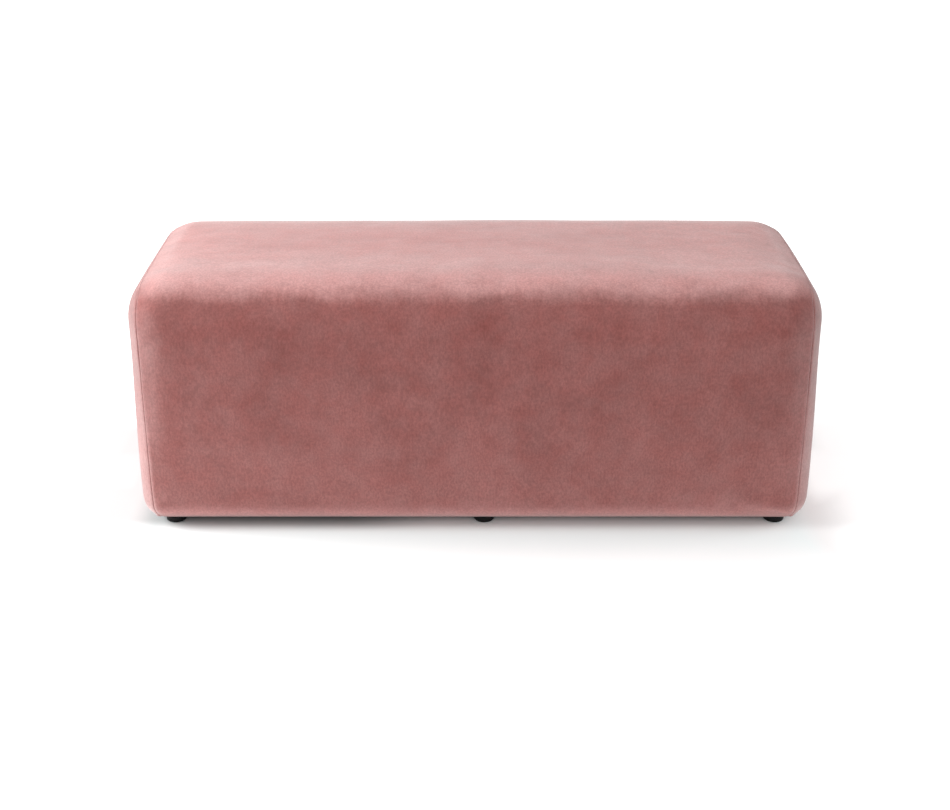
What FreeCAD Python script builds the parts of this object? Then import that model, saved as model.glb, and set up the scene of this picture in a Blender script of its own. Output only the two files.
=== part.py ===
import FreeCAD, Part
import math
import os

# An upholstered bench: a timber carcass padded with foam and wadding, dressed in a
# sewn velvet cover and standing on six low glides.
# Sizes in millimetres. X runs along the bench, Y from front to rear, Z up from the floor.

os.makedirs("parts", exist_ok=True)
Vector = FreeCAD.Vector

# Overall size
bench_width = 1200.0
bench_depth = 460.0
bench_height = 460.0
floor_gap = 12.0

# Form of the upholstered block
edge_radius = 75.0
top_crown = 3.0

# Soft layers, from the outside in
cover_thickness = 2.0
wadding_thickness = 8.0
side_foam_thickness = 27.0
seat_foam_thickness = 80.0
layer_gap = 0.3
lining_edge_sides = 6
foam_edge_sides = 3
crown_level_share = 0.35
corner_tip_share = 0.1

# Sewn seams and the hem that is turned under the carcass
seam_inset = 32.0
seam_opening = 0.4
seam_groove_width = 2.6
seam_groove_depth = 1.2
hem_width = 40.0

# Cloth that closes the underside
dust_cover_thickness = 0.8
dust_cover_margin = 28.0
dust_cover_corner = 16.0

# Carcass
stock_width = 38.0
panel_thickness = 4.0
deck_thickness = 15.0
rib_thickness = 15.0
rib_offset = 190.0
rib_hole_diameter = 100.0
rib_hole_spacing = 150.0
notch_clearance = 0.3

# Glides
glide_diameter = 37.0
glide_edge_chamfer = 2.5
glide_recess_diameter = 10.0
glide_recess_depth = 3.5
glide_end_inset = 61.0
glide_face_inset = 54.0
middle_glide_offset = 16.0

# Wood screws
screw_diameter = 4.0
screw_head_diameter = 8.0
screw_head_height = 2.6
glide_screw_length = 28.0
deck_screw_length = 40.0
rail_screw_length = 70.0
screw_sides = 8
hole_clearance = 0.2
deck_screw_count = 3

# How far a cutting shape runs past what it cuts
overrun = 5.0

# Sizes that follow from the ones above
wadding_face = cover_thickness + layer_gap
foam_face = wadding_face + wadding_thickness + layer_gap
side_padding = foam_face + side_foam_thickness + layer_gap
bottom_edge_radius = side_padding
hem_reach = side_padding + hem_width
half_width = bench_width / 2
half_depth = bench_depth / 2
middle_height = bench_height / 2
carcass_x = half_width - side_padding
carcass_y = half_depth - side_padding
carcass_bottom = floor_gap + cover_thickness + layer_gap
deck_top = bench_height - foam_face - seat_foam_thickness - layer_gap
deck_underside = deck_top - deck_thickness
post_x = carcass_x - panel_thickness
post_y = carcass_y - panel_thickness
rail_x = post_x - stock_width
rail_y = post_y - stock_width
glide_height = floor_gap - dust_cover_thickness
glide_x = half_width - glide_end_inset
glide_y = half_depth - glide_face_inset


def box(x_low, x_high, y_low, y_high, z_low, z_high):
    corner = Vector(x_low, y_low, z_low)
    return Part.makeBox(x_high - x_low, y_high - y_low, z_high - z_low, corner)


def cylinder(diameter, low, high, x, y):
    return Part.makeCylinder(diameter / 2, high - low, Vector(x, y, low))


def prism(points, low, high):
    outline = [Vector(x, y, low) for x, y in points]
    face = Part.Face(Part.makePolygon(outline + outline[:1]))
    return face.extrude(Vector(0, 0, high - low))


def mirrored(shape, axis):
    return shape.mirror(Vector(0, 0, 0), axis)


def save(shape, node):
    solids = shape.Solids
    result = solids[0] if len(solids) == 1 else Part.makeCompound(solids)
    result.exportStep("parts/" + node + ".step")


# The upholstered block

def block_section(x, inset):
    """Upright outline of the block at x: straight below and at the sides, crowned on top."""
    face_y = half_depth - inset
    low = floor_gap + inset
    high = bench_height - top_crown - inset
    front_low = Vector(x, -face_y, low)
    front_high = Vector(x, -face_y, high)
    rear_high = Vector(x, face_y, high)
    rear_low = Vector(x, face_y, low)
    front = Part.LineSegment(front_low, front_high)
    top = Part.Arc(front_high, Vector(x, 0, high + top_crown), rear_high)
    rear = Part.LineSegment(rear_high, rear_low)
    underside = Part.LineSegment(rear_low, front_low)
    return Part.Wire([curve.toShape() for curve in (front, top, rear, underside)])


def upholstered_block(inset):
    """The whole padded form with its edges rounded, drawn in by inset on every side."""
    end_x = half_width - inset
    low = floor_gap + inset
    square = Part.Face(block_section(-end_x, inset)).extrude(Vector(2 * end_x, 0, 0))
    upper = [edge for edge in square.Edges if edge.CenterOfMass.z > low + overrun]
    rounded = square.makeFillet(edge_radius - inset, upper)
    lower = [edge for edge in rounded.Edges if edge.CenterOfMass.z < low + overrun]
    return rounded.makeFillet(bottom_edge_radius - inset, lower)


# The form inside the cover: level outlines joined by flat strips that lie just inside the
# rounded block

def quarter_turn(steps):
    """Angles from nought to a quarter turn in equal steps."""
    return [math.pi / 2 * step / steps for step in range(steps + 1)]


def level_outline(reach_x, reach_y, z, corner, edge_sides):
    """Points of a level rectangle, each corner rounded off by a few straight sides."""
    points = []
    corners = ((1, 1), (-1, 1), (-1, -1), (1, -1))
    for quarter, (side_x, side_y) in enumerate(corners):
        centre = Vector(side_x * (reach_x - corner), side_y * (reach_y - corner), z)
        for angle in quarter_turn(edge_sides):
            turn = angle + quarter * math.pi / 2
            points.append(centre + Vector(math.cos(turn), math.sin(turn), 0) * corner)
    return points


def flat_face(points):
    return Part.Face(Part.makePolygon(points + points[:1]))


def stacked(outlines):
    """Solid between level outlines that all have the same number of points."""
    faces = [flat_face(outlines[0]), flat_face(outlines[-1])]
    for lower, upper in zip(outlines, outlines[1:]):
        for here in range(len(lower)):
            before = here - 1
            faces.append(flat_face([lower[before], lower[here], upper[here], upper[before]]))
    return Part.makeSolid(Part.makeShell(faces))


def padding_levels(inset, edge_sides):
    """How far the form draws in at each height, from its underside to its crown."""
    lower = bottom_edge_radius - inset
    upper = edge_radius - inset
    lower_centre = floor_gap + bottom_edge_radius
    upper_centre = bench_height - top_crown - edge_radius
    turns = quarter_turn(edge_sides)
    levels = [(lower * (1 - math.sin(turn)), lower_centre - lower * math.cos(turn))
              for turn in turns]
    levels += [(upper * (1 - math.cos(turn)), upper_centre + upper * math.sin(turn))
               for turn in turns]
    crown_reach = half_depth * crown_level_share
    crown_drop = top_crown * crown_level_share ** 2
    levels.append((half_depth - inset - crown_reach, bench_height - inset - crown_drop))
    return levels


def padding_form(inset, edge_sides):
    """The form drawn in by inset, each rounded edge made of a few flat strips."""
    radius = edge_radius - inset
    outlines = []
    for draw_in, height in padding_levels(inset, edge_sides):
        corner = max(radius - draw_in, radius * corner_tip_share)
        reach_x = half_width - inset - draw_in
        reach_y = half_depth - inset - draw_in
        outlines.append(level_outline(reach_x, reach_y, height, corner, edge_sides))
    return stacked(outlines)


# Velvet cover: a band over front, top and rear, and a panel on each end

def seam_corner_y(x):
    """Half depth of the block's plan outline at x, inside the corner rounding."""
    run = x - (half_width - edge_radius)
    return half_depth - edge_radius + (edge_radius ** 2 - run ** 2) ** 0.5


def end_zone(grow):
    """Space of the right end panel: past the seam, and its hem between two mitres."""
    seam_x = half_width - seam_inset
    hem_x = half_width - hem_reach
    hem_y = half_depth - hem_reach
    mitre_slope = (seam_corner_y(seam_x) - hem_y) / (seam_x - hem_x)
    outer_y = hem_y + mitre_slope * hem_reach
    past_seam = box(seam_x - grow, half_width + overrun, -half_depth - overrun,
                    half_depth + overrun, -overrun, bench_height + overrun)
    hem_points = [(half_width, -outer_y - grow), (half_width, outer_y + grow),
                  (hem_x, hem_y + grow), (hem_x - overrun, hem_y + grow),
                  (hem_x - overrun, -hem_y - grow), (hem_x, -hem_y - grow)]
    return past_seam.fuse(prism(hem_points, -overrun, middle_height))


def cover_skin():
    """The cover in one piece: open below inside the hem, pierced by the glide screws."""
    outside = upholstered_block(0)
    hem_x = half_width - hem_reach
    hem_y = half_depth - hem_reach
    mouth = box(-hem_x, hem_x, -hem_y, hem_y, 0, floor_gap + cover_thickness + overrun)
    skin = outside.cut(padding_form(cover_thickness, lining_edge_sides)).cut(mouth)
    return skin.cut(glide_screw_holes())


def seam_groove():
    """Shallow furrow that the sewn edge pulls into the velvet round the right end."""
    strip = end_zone(seam_groove_width / 2).cut(end_zone(-seam_groove_width / 2))
    return strip.cut(padding_form(seam_groove_depth, lining_edge_sides))


def make_cover():
    skin = cover_skin()
    groove = seam_groove()
    wide_zone = end_zone(seam_opening / 2)
    narrow_zone = end_zone(-seam_opening / 2)
    along = Vector(1, 0, 0)
    left_end = skin.common(mirrored(narrow_zone, along)).cut(mirrored(groove, along))
    right_end = skin.common(narrow_zone).cut(groove)
    band = skin.cut([wide_zone, mirrored(wide_zone, along), groove, mirrored(groove, along)])
    save(band, "cover_band")
    save(left_end, "cover_left_end")
    save(right_end, "cover_right_end")


# Padding under the cover

def make_wadding():
    """One wrap over top and sides, tucked under the foam as far as the carcass."""
    wrap = padding_form(wadding_face, lining_edge_sides)
    hollow = padding_form(wadding_face + wadding_thickness, foam_edge_sides)
    reach_x = carcass_x + layer_gap
    reach_y = carcass_y + layer_gap
    carcass_space = box(-reach_x, reach_x, -reach_y, reach_y, 0, middle_height)
    save(wrap.cut(hollow).cut(carcass_space), "wadding")


def make_foam():
    """A thick slab on the deck, and thinner foam on the four sides of the carcass."""
    core = padding_form(foam_face, foam_edge_sides)
    face_x = carcass_x + layer_gap
    face_y = carcass_y + layer_gap
    slab = box(-half_width, half_width, -half_depth, half_depth,
               deck_top + layer_gap, bench_height)
    rear_space = box(-half_width, half_width, face_y, half_depth, 0, deck_top)
    right_space = box(face_x, half_width, -carcass_y, carcass_y, 0, deck_top)
    rear = core.common(rear_space)
    right = core.common(right_space)
    save(core.common(slab), "seat_foam")
    save(rear, "rear_foam")
    save(mirrored(rear, Vector(0, 1, 0)), "front_foam")
    save(right, "right_foam")
    save(mirrored(right, Vector(1, 0, 0)), "left_foam")


def make_dust_cover():
    """Thin black cloth over the underside, its corners folded in."""
    edge_x = carcass_x - dust_cover_margin
    edge_y = carcass_y - dust_cover_margin
    cut_x = edge_x - dust_cover_corner
    cut_y = edge_y - dust_cover_corner
    outline = [(-cut_x, -edge_y), (cut_x, -edge_y), (edge_x, -cut_y), (edge_x, cut_y),
               (cut_x, edge_y), (-cut_x, edge_y), (-edge_x, cut_y), (-edge_x, -cut_y)]
    save(prism(outline, glide_height, floor_gap), "dust_cover")


# Wood screws and the holes that they leave

def many_sided(diameter, low, high):
    """Near-round bar with few flat faces, for small fasteners and their holes."""
    radius = diameter / 2
    turn = 2 * math.pi / screw_sides
    outline = [(radius * math.cos(turn * step), radius * math.sin(turn * step))
               for step in range(screw_sides)]
    return prism(outline, low, high)


def wood_screw(length, clearance):
    """Flat-headed screw, head face at the origin and pointing down."""
    shank = screw_diameter + 2 * clearance
    head = screw_head_diameter + 2 * clearance
    return many_sided(head, -screw_head_height, 0).fuse(
        many_sided(shank, -length - clearance, -screw_head_height))


def screws(places, length, clearance):
    """A screw at each place, given as head position and driving direction."""
    result = []
    for position, direction in places:
        screw = wood_screw(length, clearance)
        turn = FreeCAD.Rotation(Vector(0, 0, -1), direction)
        screw.Placement = FreeCAD.Placement(position, turn)
        result.append(screw)
    return Part.makeCompound(result)


def glide_screw_places():
    """Three glides in each row; the middle one stands a little off centre."""
    up = Vector(0, 0, 1)
    return [(Vector(x, y, glide_recess_depth), up)
            for y in (-glide_y, glide_y)
            for x in (-glide_x, middle_glide_offset, glide_x)]


def glide_screw_holes():
    return screws(glide_screw_places(), glide_screw_length, hole_clearance)


def evenly_spaced(count, reach):
    """Places in equal steps between -reach and reach, half a step in from both."""
    step = 2 * reach / count
    return [-reach + step * (number + 0.5) for number in range(count)]


def deck_screw_places():
    """Along the middle line of both long top rails."""
    line_y = post_y - stock_width / 2
    down = Vector(0, 0, -1)
    return [(Vector(x, y, deck_top), down)
            for y in (-line_y, line_y)
            for x in evenly_spaced(deck_screw_count, rail_x)]


def deck_screw_holes():
    return screws(deck_screw_places(), deck_screw_length, hole_clearance)


def rail_screw_places():
    """Through each post into the rail ends; the two directions pass at two heights."""
    line_x = post_x - stock_width / 2
    line_y = post_y - stock_width / 2
    places = []
    for rail_low in (carcass_bottom, deck_underside - stock_width):
        lower = rail_low + stock_width / 4
        upper = rail_low + 3 * stock_width / 4
        for side_x in (-1, 1):
            for side_y in (-1, 1):
                along_x = Vector(side_x * post_x, side_y * line_y, lower)
                along_y = Vector(side_x * line_x, side_y * post_y, upper)
                places.append((along_x, Vector(-side_x, 0, 0)))
                places.append((along_y, Vector(0, -side_y, 0)))
    return places


def rail_screw_holes():
    return screws(rail_screw_places(), rail_screw_length, hole_clearance)


def make_screws():
    save(screws(glide_screw_places(), glide_screw_length, 0), "glide_screws")
    save(screws(deck_screw_places(), deck_screw_length, 0), "deck_screws")
    save(screws(rail_screw_places(), rail_screw_length, 0), "rail_screws")


# Carcass; its lower corners are eased where the cover rolls under them

def make_deck():
    board = box(-carcass_x, carcass_x, -carcass_y, carcass_y, deck_underside, deck_top)
    save(board.cut(deck_screw_holes()), "seat_deck")


def make_panels(lining):
    """Thin boards round the carcass that carry the side foam."""
    rear = box(-carcass_x, carcass_x, post_y, carcass_y, carcass_bottom, deck_underside)
    right = box(post_x, carcass_x, -post_y, post_y, carcass_bottom, deck_underside)
    rear = rear.common(lining)
    right = right.common(lining)
    save(rear, "rear_panel")
    save(mirrored(rear, Vector(0, 1, 0)), "front_panel")
    save(right, "right_panel")
    save(mirrored(right, Vector(1, 0, 0)), "left_panel")


def make_posts(lining):
    for side_y, row in ((-1, "front"), (1, "rear")):
        for side_x, column in ((-1, "left"), (1, "right")):
            x_low, x_high = sorted((side_x * rail_x, side_x * post_x))
            y_low, y_high = sorted((side_y * rail_y, side_y * post_y))
            post = box(x_low, x_high, y_low, y_high, carcass_bottom, deck_underside)
            drilled = post.common(lining).cut([glide_screw_holes(), rail_screw_holes()])
            save(drilled, row + "_" + column + "_post")


def make_rails():
    """Top and bottom rails between the posts, on all four sides."""
    levels = (("bottom", carcass_bottom), ("top", deck_underside - stock_width))
    for level, low in levels:
        high = low + stock_width
        rails = {
            "front": box(-rail_x, rail_x, -post_y, -rail_y, low, high),
            "rear": box(-rail_x, rail_x, rail_y, post_y, low, high),
            "left": box(-post_x, -rail_x, -rail_y, rail_y, low, high),
            "right": box(rail_x, post_x, -rail_y, rail_y, low, high)}
        for side, rail in rails.items():
            holes = [glide_screw_holes(), deck_screw_holes(), rail_screw_holes()]
            save(rail.cut(holes), side + "_" + level + "_rail")


def make_ribs():
    """Upright boards that prop the deck, notched over the long rails."""
    notch_y = rail_y - notch_clearance
    notch_low = carcass_bottom + stock_width + notch_clearance
    notch_high = deck_underside - stock_width - notch_clearance
    hole_z = (carcass_bottom + deck_underside) / 2
    for side, column in ((-1, "left"), (1, "right")):
        x_low = side * rib_offset - rib_thickness / 2
        x_high = x_low + rib_thickness
        waist = box(x_low, x_high, -post_y, post_y, notch_low, notch_high)
        tall = box(x_low, x_high, -notch_y, notch_y, carcass_bottom, deck_underside)
        rib = waist.fuse(tall).removeSplitter()
        for y in (-rib_hole_spacing / 2, rib_hole_spacing / 2):
            start = Vector(x_low - overrun, y, hole_z)
            depth = rib_thickness + 2 * overrun
            rib = rib.cut(Part.makeCylinder(rib_hole_diameter / 2, depth, start, Vector(1, 0, 0)))
        save(rib, column + "_rib")


# Glides

def glide_form():
    """Round plastic foot, eased round its lower edge, with a recess for its screw."""
    disc = cylinder(glide_diameter, 0, glide_height, 0, 0)
    lower_edge = min(disc.Edges, key=lambda edge: edge.CenterOfMass.z)
    disc = disc.makeChamfer(glide_edge_chamfer, [lower_edge])
    return disc.cut(many_sided(glide_recess_diameter, -overrun, glide_recess_depth))


def make_glides():
    form = glide_form()
    holes = glide_screw_holes()
    rows = {"front_glides": [], "rear_glides": []}
    for place, direction in glide_screw_places():
        row = "front_glides" if place.y < 0 else "rear_glides"
        rows[row].append(form.translated(Vector(place.x, place.y, 0)).cut(holes))
    for node, glides in rows.items():
        save(Part.makeCompound(glides), node)


cover_lining = padding_form(cover_thickness + layer_gap / 2, lining_edge_sides)
make_cover()
make_wadding()
make_foam()
make_dust_cover()
make_deck()
make_panels(cover_lining)
make_posts(cover_lining)
make_rails()
make_ribs()
make_glides()
make_screws()
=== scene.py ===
import math

import bmesh
import bpy
import numpy as np
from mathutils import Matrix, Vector, noise
from mathutils.bvhtree import BVHTree
from mathutils.kdtree import KDTree


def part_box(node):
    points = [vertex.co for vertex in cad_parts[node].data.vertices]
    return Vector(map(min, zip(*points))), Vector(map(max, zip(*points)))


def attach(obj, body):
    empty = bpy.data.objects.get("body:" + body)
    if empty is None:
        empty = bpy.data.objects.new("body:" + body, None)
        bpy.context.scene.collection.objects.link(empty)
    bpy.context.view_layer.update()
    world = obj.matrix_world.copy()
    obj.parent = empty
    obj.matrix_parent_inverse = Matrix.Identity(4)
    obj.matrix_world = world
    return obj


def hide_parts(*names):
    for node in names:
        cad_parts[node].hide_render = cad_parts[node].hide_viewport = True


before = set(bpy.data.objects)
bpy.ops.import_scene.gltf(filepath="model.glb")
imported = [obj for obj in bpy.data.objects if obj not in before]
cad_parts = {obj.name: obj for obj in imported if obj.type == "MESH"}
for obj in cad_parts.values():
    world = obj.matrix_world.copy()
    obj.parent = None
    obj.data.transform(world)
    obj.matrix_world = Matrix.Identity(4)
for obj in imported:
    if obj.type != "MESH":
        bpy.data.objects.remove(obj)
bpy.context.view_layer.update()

scene = bpy.context.scene
tau = 2 * math.pi
down, up = (0, 0, -1), (0, 0, 1)
white = (1, 1, 1, 1)
samePlace = 0.00005      # points closer than this are one
tiny = 1e-9


# small helpers that every piece uses

def objectFrom(name, points, faces, smooth=True):
    mesh = bpy.data.meshes.new(name)
    mesh.from_pydata([tuple(p) for p in points], [], [tuple(f) for f in faces])
    mesh.validate()
    for polygon in mesh.polygons:
        polygon.use_smooth = smooth
    return objectWith(name, mesh)


def objectWith(name, data):
    thing = bpy.data.objects.new(name, data)
    scene.collection.objects.link(thing)
    return thing


def bakeDown(thing):
    # the evaluated result becomes the plain mesh, and no modifier stays
    graph = bpy.context.evaluated_depsgraph_get()
    made = bpy.data.meshes.new_from_object(thing.evaluated_get(graph))
    thing.modifiers.clear()
    thing.data = made
    return thing


def thicken(thing, thickness, offset=-1):
    skin = thing.modifiers.new("thickness", "SOLIDIFY")
    skin.thickness = thickness
    skin.offset = offset
    return bakeDown(thing)


def changeMesh(thing, change):
    shape = bmesh.new()
    shape.from_mesh(thing.data)
    change(shape)
    shape.to_mesh(thing.data)
    shape.free()


def weld(thing, gap):
    changeMesh(thing, lambda shape: bmesh.ops.remove_doubles(shape, verts=shape.verts, dist=gap))


def outward(thing):
    changeMesh(thing, lambda shape: bmesh.ops.recalc_face_normals(shape, faces=shape.faces))


def smoothByAngle(thing, degrees):
    def markSharp(shape):
        for edge in shape.edges:
            edge.smooth = len(edge.link_faces) != 2 or edge.calc_face_angle(0) < math.radians(degrees)

    thing.data.shade_smooth()
    changeMesh(thing, markSharp)


def settle(thing, material=None):
    if material:
        thing.data.materials.clear()
        thing.data.materials.append(material)
    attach(thing, "root")


def settlePadding(thing, material, nodeName):
    settle(thing, material)
    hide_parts(nodeName)


def noiseOver(points, scale=1.0, shift=(0, 0, 0)):
    return np.array([noise.noise(Vector(p) * scale + Vector(shift)) for p in points])


def mix(a, b, share):
    return a + (b - a) * share


def ease(x):
    x = np.clip(x, 0, 1)
    return x * x * (3 - 2 * x)


# shader building

def wire(tree, target, value):
    # a socket is linked, anything else is the socket's own value
    if isinstance(value, bpy.types.NodeSocket):
        tree.links.new(value, target)
    else:
        target.default_value = value


def node(tree, kind, inputs=(), **settings):
    made = tree.nodes.new(kind)
    for key, value in settings.items():
        setattr(made, key, value)
    for key, value in dict(inputs).items():
        wire(tree, made.inputs[key], value)
    return made


def joining(operation):
    # a helper that joins two or more values in a row
    def join(tree, first, *others):
        for other in others:
            first = node(tree, "ShaderNodeMath", {0: first, 1: other}, operation=operation).outputs[0]
        return first

    return join


plus, minus, times, larger = (joining(kind) for kind in ("ADD", "SUBTRACT", "MULTIPLY", "MAXIMUM"))


def absolute(tree, value):
    return node(tree, "ShaderNodeMath", {0: value}, operation="ABSOLUTE").outputs[0]


def split(tree, vector):
    return node(tree, "ShaderNodeSeparateXYZ", {0: vector}).outputs


def spread(tree, value, low, high, toLow=0.0, toHigh=1.0, kind="SMOOTHSTEP"):
    inputs = {"Value": value, "From Min": low, "From Max": high, "To Min": toLow, "To Max": toHigh}
    return node(tree, "ShaderNodeMapRange", inputs, interpolation_type=kind).outputs[0]


def blendValue(tree, share, a, b):
    return node(tree, "ShaderNodeMix", {0: share, 2: a, 3: b}, data_type="FLOAT").outputs[0]


def blendColour(tree, share, a, b):
    return node(tree, "ShaderNodeMix", {0: share, 6: a, 7: b}, data_type="RGBA").outputs[2]


def scaleColour(tree, colour, amount):
    return node(tree, "ShaderNodeVectorMath", {0: colour, "Scale": amount}, operation="SCALE").outputs[0]


def noiseAt(tree, vector, scale, detail=3.0, roughness=0.55, stretch=(1, 1, 1)):
    moved = node(tree, "ShaderNodeMapping", {"Vector": vector, "Scale": stretch}).outputs[0]
    inputs = {"Vector": moved, "Scale": scale, "Detail": detail, "Roughness": roughness}
    return node(tree, "ShaderNodeTexNoise", inputs).outputs[0]


def seenDirectly(tree):
    # 1 for what the camera sees, also in gloss and through glass
    path = node(tree, "ShaderNodeLightPath").outputs
    return larger(tree, path["Is Camera Ray"], path["Is Glossy Ray"], path["Is Transmission Ray"])


number, vector3 = "NodeSocketFloat", "NodeSocketVector"


def newGroup(name, inputs, outputs):
    group = bpy.data.node_groups.new(name, "ShaderNodeTree")
    for label, value in {"vector": None, **inputs}.items():
        kind = number if isinstance(value, float) else vector3
        socket = group.interface.new_socket(name=label, in_out="INPUT", socket_type=kind)
        if value is not None:
            socket.default_value = value
    for label in outputs:
        group.interface.new_socket(name=label, in_out="OUTPUT", socket_type=number)
    return group, group.nodes.new("NodeGroupInput").outputs, group.nodes.new("NodeGroupOutput").inputs


def makeNapGroup():
    # pile that lies this way and that: soft clouds, and streaks drawn out along one direction
    group, given, out = newGroup("liedownPile", {"cloudScale": 9.0, "streakScale": 5.0}, ("clouds", "streaks"))
    wide = noiseAt(group, given["vector"], given["cloudScale"], 4.0, 0.58)
    small = noiseAt(group, given["vector"], times(group, given["cloudScale"], 3.1), 3.0, 0.6)
    streaks = noiseAt(group, given["vector"], given["streakScale"], 3.5, 0.55, (1.0, 3.2, 1.0))
    wire(group, out["clouds"], plus(group, times(group, wide, 0.65), times(group, small, 0.35)))
    wire(group, out["streaks"], streaks)
    return group


def makeWeaveGroup():
    # threads of a cloth seen as crossing faint lines, with a fine tooth between them
    group, given, out = newGroup("clothThreads", {"threadScale": 420.0, "slubScale": 60.0}, ("height", "tone"))
    along = noiseAt(group, given["vector"], given["slubScale"], 2.0, 0.6, (0.9, 1.5, 5.5))
    across = noiseAt(group, given["vector"], given["slubScale"], 2.0, 0.6, (5.5, 5.5, 0.8))
    tooth = noiseAt(group, given["vector"], given["threadScale"], 2.0, 0.7)
    tone = plus(group, times(group, along, 0.35), times(group, across, 0.65))
    wire(group, out["tone"], tone)
    wire(group, out["height"], plus(group, times(group, tone, 0.5), tooth))
    return group


def makeGrainGroup():
    # wood grain along X, Y or Z, picked by the stretch
    group, given, out = newGroup("woodGrain", {"stretch": (1, 1, 1), "ringScale": 30.0}, ("bands", "pores"))
    drawn = node(group, "ShaderNodeVectorMath", {0: given["vector"], 1: given["stretch"]},
                 operation="MULTIPLY").outputs[0]
    rings = {"Vector": drawn, "Scale": given["ringScale"], "Distortion": 5.0, "Detail": 3.0,
             "Detail Scale": 1.4, "Phase Offset": noiseAt(group, drawn, 3.0, 3.0)}
    bands = node(group, "ShaderNodeTexWave", rings, wave_type="BANDS", bands_direction="DIAGONAL")
    wire(group, out["bands"], bands.outputs["Fac"])
    wire(group, out["pores"], noiseAt(group, drawn, 260.0, 2.0, 0.7))
    return group


def makeHandlingGroup():
    # dust that settles and marks of handling, as two masks
    group, given, out = newGroup("dustAndHandling", {"dustScale": 40.0, "markScale": 220.0}, ("dust", "marks"))
    soft = noiseAt(group, given["vector"], given["dustScale"], 5.0, 0.65)
    fine = noiseAt(group, given["vector"], given["markScale"], 2.0, 0.5, (1, 0.2, 1))
    wire(group, out["dust"], spread(group, soft, 0.48, 0.75))
    wire(group, out["marks"], spread(group, fine, 0.55, 0.8))
    return group


napGroup = makeNapGroup()
weaveGroup = makeWeaveGroup()
grainGroup = makeGrainGroup()
handlingGroup = makeHandlingGroup()


class Surface:
    # a material under way: its tree, its shader and the place on the piece
    def __init__(self, name, look, **sockets):
        self.look = look
        self.material = bpy.data.materials.new(name)
        self.material.use_nodes = True
        self.tree = self.material.node_tree
        self.shader = self.tree.nodes["Principled BSDF"]
        for key, value in sockets.items():
            self.shader.inputs[key.replace("_", " ")].default_value = value
        self.place = self.tree.nodes.new("ShaderNodeTexCoord").outputs["Object"]

    def use(self, group, *keys, **inputs):
        # places a shared group, with its inputs from the look under their own names
        made = node(self.tree, "ShaderNodeGroup", node_tree=group)
        inputs = {"vector": self.place, **{key: self.look[key] for key in keys}, **inputs}
        for key, value in inputs.items():
            wire(self.tree, made.inputs[key], value)
        return made.outputs

    def handled(self):
        return self.use(handlingGroup, "dustScale", "markScale")

    def cells(self):
        inputs = {"Vector": self.place, "Scale": self.look["cellScale"]}
        return node(self.tree, "ShaderNodeTexVoronoi", inputs).outputs["Distance"]

    def finish(self, colour, height, roughness=None):
        look = self.look
        bump = node(self.tree, "ShaderNodeBump", {"Height": height, "Distance": look["relief"],
                                                  "Strength": look["reliefShare"]})
        wire(self.tree, self.shader.inputs["Base Color"], colour)
        wire(self.tree, self.shader.inputs["Normal"], bump.outputs[0])
        if roughness:
            wire(self.tree, self.shader.inputs["Roughness"], roughness)
        return self.material


# each pair is where a mask starts and where it is full, by how far the face looks up, or a place in metres
velvetLook = {
    "deep": (0.200, 0.064, 0.058, 1), "pale": (0.480, 0.215, 0.203, 1),
    "sheen": 0.33, "sheenRoughness": 0.5, "sheenTint": (0.85, 1.0, 1.0, 1),
    "rest": 0.095,                          # how far the front's pile is from deep to pale
    # painted light and shade: the paler top, brink, tuck, foot, rolls and ends and the duller shoulder stand
    # in for the sheen, lamp light and floor bounce that fall there
    "topPaintedLight": 0.84, "topFrom": (0.635, 1.0), "flatTopLess": 0.175, "levelFrom": (0.96, 0.9995),
    "brinkPaintedLight": 0.13, "brinkFrom": (-0.145, 0.02), "shoulderFrom": (0.6, 0.92),
    "footPaintedLight": 0.18, "footFrom": (0.06, 0.38), "tuckPaintedLight": 0.66, "tuckFrom": (-0.65, 0.0),
    "endPaintedLight": 0.03, "endsFrom": (-0.0004, 0.0008), "uprightFrom": (0.3, 0.8),
    "rollPaintedLight": 0.17, "rollFrom": (0.03, 0.45), "rollHeight": (0.05, 0.40), "rollLess": 0.22,
    "leanFrom": (0.05, 0.5),
    "wander": 0.30, "feather": 0.15,        # how unevenly the painted top light gives way to the front
    "featherScale": 130.0, "featherStretch": (1.0, 0.35, 0.35),
    "mottle": 0.80, "hueDrift": 0.045, "driftScale": 22.1, "driftFrom": (0.25, 0.75),
    # painted light and shade in the saturation: a richer flat top, and a duller brink, shoulder, ends and
    # rolls
    "endsDuller": 0.07, "rollDuller": 0.11, "flatRicher": 0.09, "brinkDuller": 0.16, "shoulderPaintedShade": 0.09,
    "cloudScale": 13.0, "streakScale": 9.0, "streakShare": 0.4, "threadScale": 700.0, "slubScale": 62.0,
    "fleckScale": 300.0, "fleckStretch": (1.0, 1.0, 0.6), "fleckFrom": (0.3, 0.7), "flecks": 0.125,
    "threadFrom": (0.35, 0.65), "threadTone": 0.02, "toothFrom": (0.45, 1.05), "toothTone": 0.07,
    "lieRelief": 2.5, "threadRelief": 0.22, "relief": 0.0022, "reliefShare": 0.35}
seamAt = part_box("cover_band")[1][0]         # where the band ends and the end panels begin


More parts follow.
